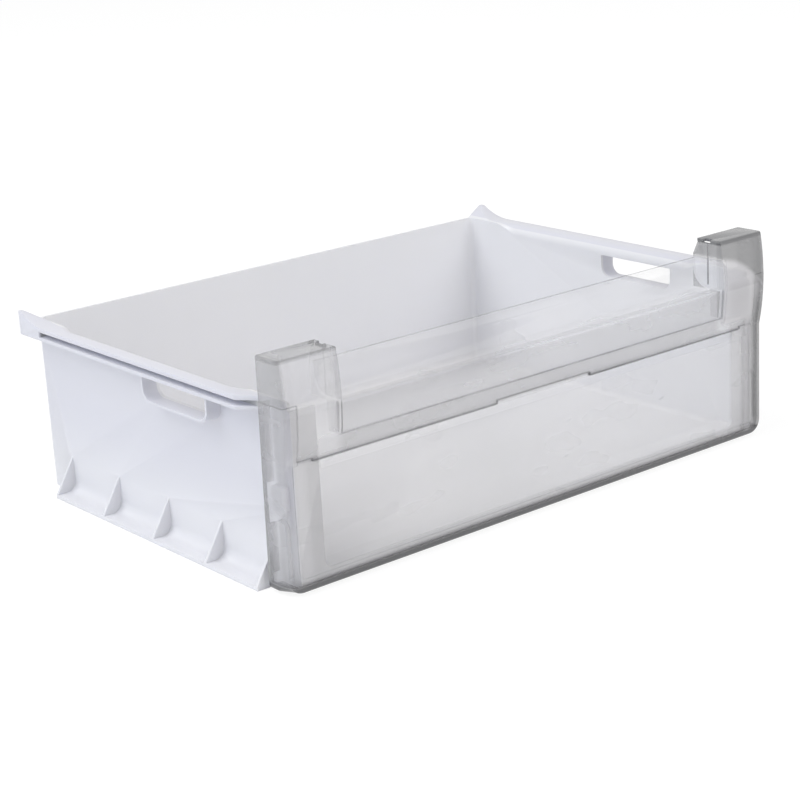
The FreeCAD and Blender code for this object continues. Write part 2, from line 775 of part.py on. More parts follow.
def add_tongue(body):
    """Tongue behind the grip rail's band, and the snap tabs along the upper edge."""
    root = "(dims.panel_wall / 2)"
    front = "(dims.panel_wall + dims.joint_gap)"
    back = f"({front} + dims.tongue_wall)"
    shoulder = "(dims.panel_height - 1)"
    foot = "(dims.panel_height - dims.tongue_root)"
    top = "(dims.panel_height + dims.tongue_height)"
    half = f"({SIDE} - dims.front_return - dims.seat_gap * 2)"
    sketch = section(body, "tongue_outline", "0")
    outline(sketch, [
        (root, foot),
        (back, foot),
        (back, top),
        (front, top),
        (front, shoulder),
        (root, shoulder),
    ])
    pad(body, sketch, "tongue", f"{half} * 2", symmetric=True)
    sketch = elevation(body, "tab_outline", "dims.margin_step")
    outline(sketch, box_corners(
        "-dims.tab_width / 2", "dims.tab_width / 2",
        shoulder, "dims.panel_height + dims.tab_height"))
    strip = f"({FACE} - dims.strip_width)"
    both_sides(sketch, box_corners(
        f"{strip} - dims.end_tab_width", f"{strip} + 1",
        shoulder, "dims.panel_height + dims.end_tab_height"))
    pad(body, sketch, "snap_tabs", "dims.panel_wall - dims.margin_step", backward=True)


def make_front_panel():
    """Clear lower front, one moulding, with its own zero at the face's lower edge."""
    body = new_body("front_panel")
    add_face(body)
    round_face(body)
    add_returns(body)
    add_strips(body)
    add_lips(body)
    cut_clip(body)
    sink_face(body)
    add_tongue(body)
    body.setExpression("Placement.Base.y", FACE_PLACE)
    body.setExpression("Placement.Base.z", "dims.front_lift")
    return body


def add_tower(body):
    """Right tower of the rail: bowed front, two sides and a top, open behind."""
    top, wall = "dims.rail_height", "dims.rail_wall"
    sketch = section(body, "tower_front_outline", TOWER_IN)
    outline(sketch, bowed_wall("0", top, "0", wall))
    front = pad(body, sketch, "tower_front", f"{RAIL_SIDE} - {TOWER_IN}")
    sketch = section(body, "tower_corner_outline", FACE)
    outline(sketch, bowed_wall(TOWER_FOOT, top, "0", wall))
    corner = pad(body, sketch, "tower_corner", f"dims.strip_width + {wall}", backward=True)
    sketch = section(body, "outer_side_outline", FACE)
    outline(sketch, [
        (f"{bow_at(TOWER_FOOT)} + {wall} / 2", TOWER_FOOT, "dims.bow_radius", LEFT),
        ("dims.tower_depth", TOWER_FOOT),
        ("dims.tower_depth", top),
        (f"{bow_at(top)} + {wall} / 2", top),
    ])
    outer = pad(body, sketch, "outer_side", wall, backward=True)
    back = f"(dims.shelf_depth + dims.cove_radius + {wall})"
    low = f"(dims.shelf_height - {wall})"
    sketch = section(body, "inner_side_outline", TOWER_IN)
    outline(sketch, [
        (f"{bow_at('dims.band_height')} + {wall} / 2", "dims.band_height",
         "dims.bow_radius", LEFT),
        ("dims.rail_rib", "dims.band_height"),
        ("dims.rail_rib", low),
        (back, low),
        (back, "dims.back_height"),
        (back, "dims.knee_height"),
        ("dims.tower_depth - dims.tower_lean", top),
        (f"{bow_at(top)} + {wall} / 2", top),
    ])
    inner = pad(body, sketch, "inner_side", wall)
    sketch = plan(body, "tower_top_plan", top)
    outline(sketch, box_corners(TOWER_IN, FACE, f"{bow_at(top)} + {wall} / 2", "dims.tower_depth"))
    cap = pad(body, sketch, "tower_top", wall, backward=True)
    mirror(body, "other_tower", [front, corner, outer, inner, cap])


def add_grip(body):
    """Band, sunk strip, shelf and back of the finger recess between the towers."""
    wall = "dims.rail_wall"
    span = f"({TOWER_IN} * 2 + {wall})"
    sketch = section(body, "band_outline", "0")
    outline(sketch, bowed_wall("0", "dims.band_height", "0", wall))
    pad(body, sketch, "band", span, symmetric=True)
    sketch = section(body, "strip_outline", "0")
    low = f"(dims.band_height - {wall} / 2)"
    outline(sketch, bowed_wall(low, "dims.shelf_height", "dims.strip_step", wall))
    pad(body, sketch, "sunk_strip", span, symmetric=True)
    bend = "(dims.shelf_height + dims.cove_radius)"
    face = "(dims.shelf_depth + dims.cove_radius)"
    start = f"({bow_at('dims.shelf_height')} + dims.strip_step + {wall} / 2)"
    sketch = section(body, "recess_outline", "0")
    outline(sketch, [
        (start, f"dims.shelf_height - {wall}"),
        ("dims.shelf_depth", f"dims.shelf_height - {wall}"),
        (f"{face} + {wall}", bend, f"(dims.cove_radius + {wall})", LEFT),
        (f"{face} + {wall}", "dims.back_height"),
        (face, "dims.back_height"),
        (face, bend),
        ("dims.shelf_depth", "dims.shelf_height", "dims.cove_radius", RIGHT),
        (start, "dims.shelf_height"),
    ])
    pad(body, sketch, "recess", span, symmetric=True)


def cut_rail(body):
    """Room for the snap tabs, and the seam and notch at the inner end of each tower."""
    half = "(dims.tab_width / 2 + dims.joint_gap)"
    end = f"({RAIL_SIDE} - dims.end_tab_width)"
    sketch = elevation(body, "tab_room", "-dims.bow_radius / 20")
    outline(sketch, box_corners(f"-{half}", half, "-1", "dims.tab_height"))
    both_sides(sketch, box_corners(end, f"{RAIL_SIDE} + 1", "-1", "dims.end_tab_height"))
    pocket(body, sketch, "cut_tab_room", "dims.bow_radius / 10")
    sketch = plan(body, "seam_plan", "dims.rail_height + 1")
    both_sides(sketch, box_corners(
        f"{TOWER_IN} - 1", f"{TOWER_IN} + dims.seam_width",
        "dims.seam_place", "dims.seam_place + dims.seam_width"))
    pocket(body, sketch, "seams", "dims.rail_height - dims.shelf_height")
    sketch = plan(body, "notch_plan", "dims.rail_height")
    both_sides(sketch, box_corners(
        f"{TOWER_IN} - 1", f"{TOWER_IN} + dims.notch_width",
        "dims.notch_start", "dims.notch_start + dims.notch_length"))
    pocket(body, sketch, "notches", "dims.notch_depth")


def round_towers(body):
    """Round outer upright edges and round top edges of both towers."""
    half, top = length(FACE), length("dims.rail_height")
    foot = length(TOWER_FOOT)

    def upright(box):
        """The bowed front edge at the outer side."""
        front = box.YMax < 0
        side = near(abs(box.XMin), half) and near(abs(box.XMax), half)
        return front and side and near(box.ZMin, foot)

    def upper(box):
        """The front and outer edges of a tower's top."""
        level = near(box.ZMin, top) and near(box.ZMax, top)
        side = near(abs(box.XMin), half) and near(abs(box.XMax), half)
        bend = box.XMax - box.XMin < length("dims.edge_radius") + 0.01 and box.YMin < 2.1
        return level and (side or box.YMax < 0 or bend)

    fillet(body, "tower_edge", "dims.edge_radius", upright)
    fillet(body, "tower_top_edge", "dims.round_top", upper)


def make_grip_rail():
    """Clear grip rail, one moulding, with its own zero at the front's joint line."""
    body = new_body("grip_rail")
    add_grip(body)
    add_tower(body)
    cut_rail(body)
    round_towers(body)
    body.setExpression("Placement.Base.y", FACE_PLACE)
    body.setExpression("Placement.Base.z", f"dims.front_lift + {RAIL_FOOT}")
    return body


bodies = [make_bin(), make_front_panel(), make_grip_rail()]
doc.recompute()

for item in doc.Objects:
    if "Invalid" in item.State or "Error" in item.State:
        raise ValueError(f"{item.Name} failed: {item.State}")
os.makedirs("parts", exist_ok=True)
for body in bodies:
    if body.Shape.isNull() or not body.Shape.isValid() or len(body.Shape.Solids) != 1:
        raise ValueError(f"{body.Label} is not one valid solid")
for body in bodies:
    body.Shape.exportStep(f"parts/{body.Label}.step")
    box = body.Shape.BoundBox
    print(body.Label, f"{body.Shape.Volume / 1000:.1f} cm3",
          f"x {box.XMin:.1f} {box.XMax:.1f}  y {box.YMin:.1f} {box.YMax:.1f}",
          f"z {box.ZMin:.1f} {box.ZMax:.1f}")
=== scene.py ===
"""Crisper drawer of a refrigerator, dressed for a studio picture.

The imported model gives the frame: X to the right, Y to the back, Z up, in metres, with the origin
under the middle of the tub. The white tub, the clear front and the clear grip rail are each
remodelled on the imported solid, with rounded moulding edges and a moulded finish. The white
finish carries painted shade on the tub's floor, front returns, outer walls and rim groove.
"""
from __future__ import annotations

import json
import logging
import math
from dataclasses import dataclass, field
from enum import Enum

import bpy
from mathutils import Matrix, Vector

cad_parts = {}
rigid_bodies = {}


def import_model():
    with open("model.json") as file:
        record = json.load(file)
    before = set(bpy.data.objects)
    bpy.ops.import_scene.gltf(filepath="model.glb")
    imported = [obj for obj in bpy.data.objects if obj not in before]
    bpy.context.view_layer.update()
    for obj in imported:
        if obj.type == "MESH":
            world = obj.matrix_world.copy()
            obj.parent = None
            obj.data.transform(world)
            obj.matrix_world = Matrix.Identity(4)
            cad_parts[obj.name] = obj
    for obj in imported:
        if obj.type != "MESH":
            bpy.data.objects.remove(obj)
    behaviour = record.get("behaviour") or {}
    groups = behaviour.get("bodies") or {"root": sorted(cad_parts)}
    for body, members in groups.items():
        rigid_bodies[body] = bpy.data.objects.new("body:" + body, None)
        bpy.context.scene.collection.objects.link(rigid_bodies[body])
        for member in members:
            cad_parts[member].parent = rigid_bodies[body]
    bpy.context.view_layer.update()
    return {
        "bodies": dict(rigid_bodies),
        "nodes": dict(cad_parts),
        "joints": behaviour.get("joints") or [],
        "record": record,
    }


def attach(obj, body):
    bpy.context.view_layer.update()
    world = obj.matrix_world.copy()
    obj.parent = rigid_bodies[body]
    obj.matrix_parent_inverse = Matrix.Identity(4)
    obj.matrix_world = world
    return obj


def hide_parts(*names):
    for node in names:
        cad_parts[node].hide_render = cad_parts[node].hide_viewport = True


LOG = logging.getLogger("crisper_drawer")

Colour = tuple[float, float, float]
Point = tuple[float, float, float]
Span = tuple[float, float]
Window = tuple[float, float, float]

MM = 0.001
PLASTIC_IOR = 1.49
LUMPS: Span = (0.35, 0.65)
LEFT_TO_RIGHT: Span = (-200.0, 200.0)
WHITE: Colour = (1.0, 1.0, 1.0)
NOISE_ROUGHNESS = 0.55


class Light(Enum):
    """Softboxes of the studio, by what each one does."""

    KEY = "key"
    LEFT = "left"
    FRONT = "front"


@dataclass(frozen=True)
class Pattern:
    """A noise: lumps per metre, octaves, and how much denser it is along each axis."""

    scale: float
    detail: float
    stretch: Point = (1.0, 1.0, 1.0)


class Signal:
    """A node socket that can be reckoned with in plain expressions."""

    def __init__(self, graph: Graph, socket: bpy.types.NodeSocket) -> None:
        """Wraps an output socket.

        Args:
            graph: The graph that the socket belongs to.
            socket: The output socket.
        """
        self.graph = graph
        self.socket = socket

    def _with(self, operation: str, first: Signal | float, second: Signal | float) -> Signal:
        """Math node on two values.

        Args:
            operation: Operation of the Math node.
            first: First value.
            second: Second value.

        Returns:
            The node's result.
        """
        return self.graph.node("ShaderNodeMath", {"operation": operation}, {0: first, 1: second})

    def __add__(self, other: Signal | float) -> Signal:
        """Sum of two values."""
        return self._with("ADD", self, other)

    def __radd__(self, other: float) -> Signal:
        """Sum of two values, the number first."""
        return self._with("ADD", other, self)

    def __sub__(self, other: Signal | float) -> Signal:
        """Difference of two values."""
        return self._with("SUBTRACT", self, other)

    def __rsub__(self, other: float) -> Signal:
        """Difference of two values, the number first."""
        return self._with("SUBTRACT", other, self)

    def __mul__(self, other: Signal | float) -> Signal:
        """Product of two values."""
        return self._with("MULTIPLY", self, other)

    def __rmul__(self, other: float) -> Signal:
        """Product of two values, the number first."""
        return self._with("MULTIPLY", other, self)

    def at_most(self, limit: float) -> Signal:
        """The value, or the limit where that is smaller."""
        return self._with("MINIMUM", self, limit)

    def rise(self, span: Span, unit: float = MM) -> Signal:
        """Soft step from 0 to 1.

        Args:
            span: Value below which the step is 0, and value above which it is 1.
            unit: Unit of the span: a millimetre, or 1 where the signal isn't a length.

        Returns:
            The step.
        """
        low, high = span
        return self.graph.node("ShaderNodeMapRange", {"interpolation_type": "SMOOTHSTEP"}, {
            "Value": self, "From Min": low * unit, "From Max": high * unit})

    def fall(self, span: Span) -> Signal:
        """Soft step from 1 to 0 over a span in millimetres."""
        return 1.0 - self.rise(span)

    def window(self, frame: Window) -> Signal:
        """Soft window, 1 between its ends and 0 beyond them.

        Args:
            frame: Both ends of the window and the width of the slopes outside it, in millimetres.

        Returns:
            The window.
        """
        low, high, soft = frame
        return self.rise((low - soft, low)) * self.fall((high, high + soft))


class Graph:
    """Node tree of one material or of the world."""

    def __init__(self, owner: bpy.types.Material | bpy.types.World) -> None:
        """Empties the tree.

        Args:
            owner: The material or world that the tree shades.
        """
        owner.use_nodes = True
        self.tree = owner.node_tree
        self.tree.nodes.clear()

    def node(self, kind: str, settings: dict | None = None, values: dict | None = None,
             result: int | str = 0) -> Signal:
        """Adds a node.

        Args:
            kind: Type of the node.
            settings: Settings of the node, given before its sockets.
            values: Numbers, colours or signals for its input sockets, by name or number.
            result: Which output comes back.

        Returns:
            The wanted output.
        """
        made = self.tree.nodes.new(kind)
        for name, value in (settings or {}).items():
            setattr(made, name, value)
        for name, value in (values or {}).items():
            if isinstance(value, Signal):
                self.tree.links.new(value.socket, made.inputs[name])
            else:
                made.inputs[name].default_value = value
        return Signal(self, made.outputs[result])

    def place(self) -> Signal:
        """Place of the shaded point on its object."""
        return self.node("ShaderNodeTexCoord", result="Object")

    def axis(self, name: str) -> Signal:
        """One coordinate of the shaded point, by the axis' name."""
        return self.node("ShaderNodeSeparateXYZ", {}, {"Vector": self.place()}, result=name)

    def side(self) -> Signal:
        """Distance of the shaded point from the object's middle plane."""
        return self.node("ShaderNodeMath", {"operation": "ABSOLUTE"}, {0: self.axis("X")})

    def noise(self, pattern: Pattern) -> Signal:
        """Noise over the surface.

        Args:
            pattern: The noise' pattern.

        Returns:
            The noise, from 0 to 1.
        """
        place = self.node("ShaderNodeMapping", {}, {
            "Vector": self.place(), "Scale": pattern.stretch})
        return self.node("ShaderNodeTexNoise", {}, {
            "Vector": place, "Scale": pattern.scale, "Detail": pattern.detail,
            "Roughness": NOISE_ROUGHNESS})

    def blend(self, share: Signal, first: Colour, second: Colour) -> Signal:
        """Colour between two colours.

        Args:
            share: Share of the second colour.
            first: First colour.
            second: Second colour.

        Returns:
            The colour.
        """
        return self.tint(share, (*first, 1.0), second)

    def tint(self, share: Signal, under: Signal | tuple, colour: Colour) -> Signal:
        """Lays a colour over another one.

        Args:
            share: Share of the colour, kept between 0 and 1.
            under: What lies under it, as a signal or a colour with its fourth channel.
            colour: The colour.

        Returns:
            The mixed colour.
        """
        return self.node("ShaderNodeMix", {"data_type": "RGBA"}, {
            "Factor": share, 6: under, 7: (*colour, 1.0)}, result=2)

    def bump(self, height: Signal, depth: float) -> Signal:
        """Normal of a surface with relief.

        Args:
            height: Height of the relief, from 0 to 1.
            depth: Depth of the relief, in metres.

        Returns:
            The normal.
        """
        return self.node("ShaderNodeBump", {}, {
            "Height": height, "Strength": 1.0, "Distance": depth})

    def surface(self, shader: Signal) -> None:
        """Ends the material with the shader of its surface."""
        out = self.tree.nodes.new("ShaderNodeOutputMaterial")
        self.tree.links.new(shader.socket, out.inputs["Surface"])


@dataclass(frozen=True)
class WhiteMoulding:
    """Satin white of the moulded tub, with painted shade in places. Spans are in millimetres."""

    name: str = "white_moulding_and_painted_shade"
    pale: Colour = (0.80, 0.797, 0.82)
    cool: Colour = (0.775, 0.775, 0.80)
    # Painted shade on the tub's floor and at the foot of its inner walls.
    floor: Colour = (0.76, 0.755, 0.77)
    # Painted shade on the tub's front returns, darkest at the left end.
    ends: Colour = (0.60, 0.595, 0.61)
    # Painted shade in the groove under the rim.
    groove_shade: Colour = (0.42, 0.42, 0.43)
    # Painted shade on the outer walls, darker and bluer than the white, strongest towards the top.
    outside: Colour = (0.69, 0.69, 0.745)
    gloss: float = 0.30
    gloss_play: float = 0.12
    grain: float = 0.00004
    depth_glow: float = 0.08
    glow_reach: Point = (0.004, 0.004, 0.005)
    # Height and side spans of the painted floor shade.
    floor_height: Span = (5.0, 14.0)
    floor_shade_side: Span = (212.0, 213.0)
    outer_face: Span = (214.7, 214.9)
    # Depth span of the painted shade on the front returns, and how much it fades towards the
    # right.
    return_shade_depth: Span = (-155.0, -150.0)
    return_shade_fade: float = 0.6
    # Height span of the painted shade on the outer walls, and its share at the bottom.
    outer_shade_height: Span = (10.0, 75.0)
    outer_shade_least: float = 0.2
    # Where the painted groove shade lies.
    groove_shade_height: Window = (123.2, 126.8, 0.2)
    groove_shade_side: Window = (216.0, 227.0, 0.5)
    melt: Pattern = Pattern(5.0, 3.0, (1.0, 1.0, 0.4))

    def material(self) -> bpy.types.Material:
        """Builds the material.

        Returns:
            The material.
        """
        made = bpy.data.materials.new(self.name)
        graph = Graph(made)
        across, depth, height = (graph.axis(name) for name in "XYZ")
        side = graph.side()
        flow = graph.noise(self.melt)
        # Painted shade: the tub's floor and the foot of its inner walls take the darker floor
        # colour.
        inside = height.fall(self.floor_height) * side.fall(self.floor_shade_side)
        # Painted shade: the front returns inside the walls take the darker ends colour, most at
        # the left end.
        ends = depth.fall(self.return_shade_depth) * side.fall(self.outer_face) * (
            1.0 - self.return_shade_fade * across.rise(LEFT_TO_RIGHT))
        # Painted shade: the outer walls darken and turn bluer from the bottom towards the top.
        outside = side.rise(self.outer_face) * (
            self.outer_shade_least + (1.0 - self.outer_shade_least) * height.rise(self.outer_shade_height))
        # Painted shade: the groove under the rim takes a dark colour.
        groove_shade = height.window(self.groove_shade_height) * side.window(self.groove_shade_side)
        colour = graph.blend(flow.rise(LUMPS, 1.0), self.pale, self.cool)
        # Lays the painted shade of the outer walls, the floor, the front returns and the groove
        # over the white.
        for share, tone in ((outside, self.outside), (inside, self.floor), (ends, self.ends),
                            (groove_shade, self.groove_shade)):
            colour = graph.tint(share, colour, tone)
        shader = graph.node("ShaderNodeBsdfPrincipled", {}, {
            "Base Color": colour,
            "Roughness": self.gloss - self.gloss_play / 2 + self.gloss_play * flow,
            "Normal": graph.bump(flow, self.grain),
            "IOR": PLASTIC_IOR,
            "Subsurface Weight": self.depth_glow,
            "Subsurface Radius": self.glow_reach,
            "Subsurface Scale": 1.0})
        graph.surface(shader)
        return made


class Survey:
    """Where the shaded point of a clear moulding is, and the form that both its finishes hide.

    Spans are in millimetres.
    """

    tongue_depth: Window = (-158.55, -156.5, 0.1)
    tongue_height: Window = (81.0, 102.0, 1.0)
    tongue_side: Span = (211.0, 212.0)

    def __init__(self, graph: Graph) -> None:
        """Reads the coordinates.

        Args:
            graph: The graph of the material.
        """
        self.across, self.depth, self.height = (graph.axis(name) for name in "XYZ")
        self.side = graph.side()
        self.right = self.across.rise(LEFT_TO_RIGHT)

    def tongue(self) -> Signal:
        """Where the tongue behind the joint is, which is pressed to the rail and hardly shows."""
        return (self.depth.window(self.tongue_depth) * self.height.window(self.tongue_height)
                * self.side.fall(self.tongue_side))


@dataclass(frozen=True)
class ClearForms:
    """Forms of the clear mouldings that look denser or clearer. Spans are in millimetres.

    A name says along which way the span runs: "height" along Z, "depth" along Y, "side" away from
    the middle plane on both sides, and "across" along X.
    """

    face_depth: Span = (-158.7, -158.55)
    strip_side: Span = (213.0, 216.0)
    outer_side: Span = (221.0, 223.0)
    lip_depth: Span = (-139.5, -138.5)
    lip_side: Span = (216.0, 217.5)
    lip_height: Span = (124.0, 129.0)
    back_across: Span = (221.5, 222.5)
    tower_side: Span = (177.0, 179.0)
    tower_start: float = 178.0
    tower_height: Span = (143.0, 149.0)
    tower_bow: float = 23.0
    tower_drop: float = 25.0
    tower_left: float = 0.08
    cap_height: Span = (156.8, 157.6)
    inner_side: Span = (177.6, 178.2)
    recess_height: Span = (123.6, 124.6)
    stripe_across: Span = (208.0, 221.0)
    stripe_depth: Span = (-157.0, -150.0)
    stripe_height: Span = (95.0, 135.0)
    stripe_fade: float = 0.6
    veil_height: Span = (92.0, 100.0)
    veil_tower_across: Span = (179.5, 184.0)
    veil_panel_across: Span = (203.0, 209.0)
    veil_panel: float = 0.6
    cheek_side: Window = (178.45, 180.75, 0.1)
    cheek_depth: Span = (-156.0, -154.0)
    cheek_height: Span = (145.0, 147.0)
    rail_height: Window = (90.0, 121.0, 2.0)
    rail_outside: float = 0.55
    panel_height: Span = (88.0, 89.0)
    panel_side: Span = (203.0, 209.0)
    foot_height: Span = (6.0, 8.0)
    tall_height: Span = (128.0, 131.0)


@dataclass(frozen=True)
class Creases:
    """Thin dark lines where the sheet folds. Spans are in millimetres."""

    inner_side: Span = (177.8, 178.2)
    shelf_height: Window = (124.4, 125.2, 0.3)
    shelf: float = 0.45
    band_height: Window = (101.6, 102.4, 0.3)
    band: float = 0.35
    joint_height: Window = (88.1, 89.6, 0.2)
    joint_side: Window = (44.0, 200.0, 0.6)
    joint: float = 0.80
    top_height: Window = (158.9, 159.8, 0.3)
    top_left: float = 0.70
    top_less_right: float = 0.55
    post_side: Window = (178.5, 179.1, 0.4)
    post_height: Span = (101.5, 102.5)
    post_fade_height: Span = (123.0, 126.0)
    post_fade: float = 0.6

    def lines(self, at: Survey) -> Signal:
        """Draws the lines.

        Args:
            at: Where the shaded point is.

        Returns:
            Strength of the lines.
        """
        inner = at.side.fall(self.inner_side)
        post = (at.side.window(self.post_side) * at.height.rise(self.post_height)
                * (1.0 - self.post_fade * at.height.rise(self.post_fade_height)))
        return (self.shelf * inner * at.height.window(self.shelf_height)
                + self.band * inner * at.height.window(self.band_height)
                + self.joint * at.side.window(self.joint_side)
                * at.height.window(self.joint_height)
                + (self.top_left - self.top_less_right * at.right)
                * at.height.window(self.top_height)
                + post)


class ClearZones:
    """How much each form of the clear mouldings is present at the shaded point, from 0 to 1."""

    def __init__(self, at: Survey, forms: ClearForms, creases: Creases) -> None:
        """Works out the zones.

        Args:
            at: Where the shaded point is.
            forms: The forms.
            creases: The lines where the sheet folds.
        """
        across, depth, height, side, right = at.across, at.depth, at.height, at.side, at.right
        self.face = depth.fall(forms.face_depth)
        self.strip = side.rise(forms.strip_side)
        self.outer = side.rise(forms.outer_side) * (1.0 - right)
        self.lip = (depth.rise(forms.lip_depth) * side.rise(forms.lip_side)
                    * height.fall(forms.lip_height))
        self.tower = self._tower(at, forms)
        self.cap = height.rise(forms.cap_height)
        self.inner = side.fall(forms.inner_side)
        self.recess = self.inner * height.rise(forms.recess_height)
        self.stripe = (across.rise(forms.stripe_across) * (1.0 - self.tower)
                       * depth.fall(forms.stripe_depth)
                       * (1.0 - forms.stripe_fade * height.rise(forms.stripe_height)))
        high = height.rise(forms.veil_height)
        self.veil = self.face * (1.0 - self.stripe) * (1.0 - self.tower) * (
            high * across.rise(forms.veil_tower_across)
            + forms.veil_panel * (1.0 - high) * across.rise(forms.veil_panel_across))
        self.cheek = side.window(forms.cheek_side) * depth.rise(forms.cheek_depth) * (
            1.0 - height.rise(forms.cheek_height) * right)
        self.rail = height.window(forms.rail_height) * (
            forms.rail_outside + (1.0 - forms.rail_outside) * self.inner)
        self.panel = height.fall(forms.panel_height) * side.fall(forms.panel_side)
        self.foot = height.fall(forms.foot_height)
        self.tall = height.rise(forms.tall_height)
        self.tongue = at.tongue()
        self.crease = creases.lines(at) * self.face

    def _tower(self, at: Survey, forms: ClearForms) -> Signal:
        """Where the towers are, whose smoky tops end in a bow and are densest at the right.

        Args:
            at: Where the shaded point is.
            forms: The forms.

        Returns:
            The zone.
        """
        reach = forms.tower_bow * (at.side - forms.tower_start * MM)
        above = at.height + forms.tower_drop * MM * reach * reach
        back = at.across.rise(forms.back_across) * (1.0 - self.face)
        return (at.side.rise(forms.tower_side) * above.rise(forms.tower_height)
                * (forms.tower_left + (1.0 - forms.tower_left) * at.right) * (1.0 - back))


@dataclass(frozen=True)
class ClearMoulding:
    """Clear, faintly smoky sheet of the front and the rail, denser where it was moulded thick."""

    name: str = "clear_moulding"
    pale: Colour = (0.62, 0.61, 0.63)
    smoke: Colour = (0.29, 0.29, 0.295)
    dark: Colour = (0.13, 0.13, 0.135)
    haze: float = 0.08
    haze_least: float = 0.75
    haze_play: float = 0.5
    slant_haze: float = 0.31
    tower_haze: float = 0.55
    side_haze: float = 0.14
    strip_haze: float = 0.05
    rail_haze: float = 0.16
    panel_haze: float = 0.035
    lip_haze: float = 0.52
    foot_haze: float = 0.75
    cap_haze: float = 0.12
    cap_right: float = 2.0
    stripe_haze: float = 0.30
    crease_haze: float = 0.30
    veil_haze: float = 0.45
    high_side_haze: float = 0.12
    most_haze: float = 0.97
    clear_tongue: float = 0.8
    clear_cheek: float = 0.7
    clear_recess: float = 0.35
    plain_recess: float = 0.6
    smoke_outer: float = 0.15
    smoke_tall: float = 0.4
    smoke_rail: float = 0.35
    smoke_panel: float = 0.4
    dark_cap: float = 0.6
    gloss: float = 0.25
    gloss_play: float = 0.04
    shine: float = 0.15
    slant_blend: float = 0.5
    melt: Pattern = Pattern(14.0, 2.0, (1.0, 1.0, 2.5))
    forms: ClearForms = ClearForms()
    creases: Creases = Creases()

    def material(self) -> bpy.types.Material:
        """Builds the material.

        Returns:
            The material.
        """
        made = bpy.data.materials.new(self.name)
        graph = Graph(made)
        at = Survey(graph)
        zones = ClearZones(at, self.forms, self.creases)
        flow = graph.noise(self.melt)
        rough = self.gloss + self.gloss_play * flow
        sheet = graph.node("ShaderNodeBsdfPrincipled", {}, {
            "Base Color": self._colour(graph, zones, at.right),
            "Roughness": rough,
            "Alpha": self._haze(graph, zones, flow, at.right)})
        shine = graph.node("ShaderNodeBsdfPrincipled", {}, {
            "Base Color": (*WHITE, 1.0), "Metallic": 1.0, "Roughness": rough})
        bright = self.shine * graph.node("ShaderNodeFresnel", {}, {"IOR": PLASTIC_IOR})
        graph.surface(graph.node("ShaderNodeMixShader", {}, {0: bright, 1: sheet, 2: shine}))
        return made

    def _haze(self, graph: Graph, zones: ClearZones, flow: Signal, right: Signal) -> Signal:
        """How dense the sheet looks.

        Args:
            graph: The graph to add to.
            zones: Forms at the shaded point.
            flow: Slow play of the melt, from 0 to 1.
            right: 0 at the left end, 1 at the right end.

        Returns:
            The share of the light that the sheet stops.
        """
        slant = graph.node("ShaderNodeLayerWeight", {}, {"Blend": self.slant_blend},
                           result="Facing")
        clear = (self.haze * (self.haze_least + self.haze_play * flow)
                 * (1.0 - self.clear_tongue * zones.tongue)
                 * (1.0 - self.clear_cheek * zones.cheek)
                 * (1.0 - self.clear_recess * zones.recess))
        dense = (clear + self.veil_haze * zones.veil + self.panel_haze * zones.panel
                 + self.high_side_haze * zones.outer * zones.tall
                 + self.slant_haze * slant * slant * slant
                 * (1.0 - self.plain_recess * zones.recess)
                 + self.strip_haze * zones.strip + self.side_haze * zones.outer
                 + self.lip_haze * zones.lip + self.tower_haze * zones.tower
                 + self.rail_haze * zones.rail + self.foot_haze * zones.foot
                 + self.cap_haze * zones.cap * (1.0 + self.cap_right * right)
                 + self.stripe_haze * zones.stripe + self.crease_haze * zones.crease)
        return dense.at_most(self.most_haze)

    def _colour(self, graph: Graph, zones: ClearZones, right: Signal) -> Signal:
        """Colour of what the sheet stops.

        Args:
            graph: The graph to add to.
            zones: Forms at the shaded point.
            right: 0 at the left end, 1 at the right end.

        Returns:
            The colour.
        """
        smoky = (zones.tower + zones.lip + zones.cap
                 + zones.outer * (self.smoke_outer + self.smoke_tall * zones.tall)
                 + self.smoke_rail * zones.inner * zones.rail + self.smoke_panel * zones.panel)
        lined = zones.foot + zones.stripe + zones.crease + self.dark_cap * zones.cap * right
        return graph.tint(lined, graph.blend(smoky, self.pale, self.smoke), self.dark)


